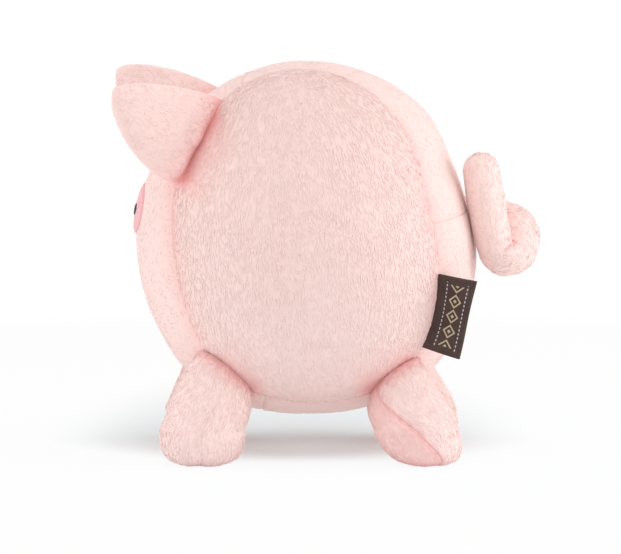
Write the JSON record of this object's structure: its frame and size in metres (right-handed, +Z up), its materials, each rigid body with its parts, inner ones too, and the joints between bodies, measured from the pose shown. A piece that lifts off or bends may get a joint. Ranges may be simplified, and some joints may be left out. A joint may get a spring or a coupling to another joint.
{
  "type": "plush pig",
  "caption": "Round stuffed pig with stub legs, sewn ears, curled tail, padded snout and a folded side label, standing on flat soles.",
  "frame": {"origin": "on the floor under the middle of the whole toy's box, ears and tail included", "axes": "+Z up, the nose points along -Y and the tail along +Y, the pig's left side is +X"},
  "size_m": [0.114, 0.1598, 0.147],
  "materials": {
    "plush": "short pale pink plush pile",
    "snout_plush": "deeper pink short plush",
    "black_thread": "satin stitch embroidery",
    "label_tape": "dark brown woven tape",
    "stuffing": "white polyester fibre fill",
    "squeaker_plastic": "thin milky plastic"
  },
  "bodies": {
    "body": {"back_panel": "plush", "belly_panel": "plush", "body_stuffing_left": "stuffing", "body_stuffing_right": "stuffing", "face_panel": "plush", "left_eye": "black_thread", "left_nostril": "black_thread", "left_side_panel": "plush", "right_eye": "black_thread", "right_nostril": "black_thread", "right_side_panel": "plush", "snout_pad": "snout_plush", "squeaker_bulb": "squeaker_plastic", "squeaker_reed": "squeaker_plastic"},
    "front_left_leg": {"front_left_leg_front_panel": "plush", "front_left_leg_rear_panel": "plush", "front_left_leg_stuffing": "stuffing"},
    "front_right_leg": {"front_right_leg_front_panel": "plush", "front_right_leg_rear_panel": "plush", "front_right_leg_stuffing": "stuffing"},
    "hind_left_leg": {"hind_left_leg_front_panel": "plush", "hind_left_leg_rear_panel": "plush", "hind_left_leg_stuffing": "stuffing"},
    "hind_right_leg": {"hind_right_leg_front_panel": "plush", "hind_right_leg_rear_panel": "plush", "hind_right_leg_stuffing": "stuffing"},
    "left_ear": {"left_ear_inner_panel": "plush", "left_ear_outer_panel": "plush"},
    "right_ear": {"right_ear_inner_panel": "plush", "right_ear_outer_panel": "plush"},
    "tail": {"tail_cover": "plush", "tail_stuffing": "stuffing"},
    "label": {"side_label": "label_tape"}
  },
  "joints": [
    {"name": "front_left_leg_swing", "type": "hinge", "parent": "body", "child": "front_left_leg", "pos_m": [0.03368, -0.03638, 0.03346], "axis": [-0.2044, 0.7516, -0.6272], "range_deg": [-12, 12], "stiffness_Nm_per_rad": 0.15},
    {"name": "front_right_leg_swing", "type": "hinge", "parent": "body", "child": "front_right_leg", "pos_m": [-0.03368, -0.03638, 0.03346], "axis": [-0.2044, -0.7516, 0.6272], "range_deg": [-12, 12], "stiffness_Nm_per_rad": 0.15},
    {"name": "hind_left_leg_swing", "type": "hinge", "parent": "body", "child": "hind_left_leg", "pos_m": [0.02976, 0.02715, 0.0318], "axis": [-0.1769, -0.7636, -0.621], "range_deg": [-12, 12], "stiffness_Nm_per_rad": 0.15},
    {"name": "hind_right_leg_swing", "type": "hinge", "parent": "body", "child": "hind_right_leg", "pos_m": [-0.02976, 0.02715, 0.0318], "axis": [-0.1769, 0.7636, 0.621], "range_deg": [-12, 12], "stiffness_Nm_per_rad": 0.15},
    {"name": "left_ear_flop", "type": "hinge", "parent": "body", "child": "left_ear", "pos_m": [0.02767, -0.04836, 0.11829], "axis": [-0.3434, 0.4381, 0.8308], "range_deg": [-18, 30], "stiffness_Nm_per_rad": 0.006},
    {"name": "right_ear_flop", "type": "hinge", "parent": "body", "child": "right_ear", "pos_m": [-0.02767, -0.04836, 0.11829], "axis": [-0.3434, -0.4381, -0.8308], "range_deg": [-18, 30], "stiffness_Nm_per_rad": 0.006},
    {"name": "tail_wag", "type": "hinge", "parent": "body", "child": "tail", "pos_m": [0, 0.05474, 0.08877], "axis": [0, 0, 1], "range_deg": [-3, 16], "stiffness_Nm_per_rad": 0.03},
    {"name": "label_flap", "type": "hinge", "parent": "body", "child": "label", "pos_m": [0.03592, 0.04329, 0.05687], "axis": [0.1645, 0.2066, 0.9645], "range_deg": [-25, 60], "stiffness_Nm_per_rad": 0.0006}
  ]
}
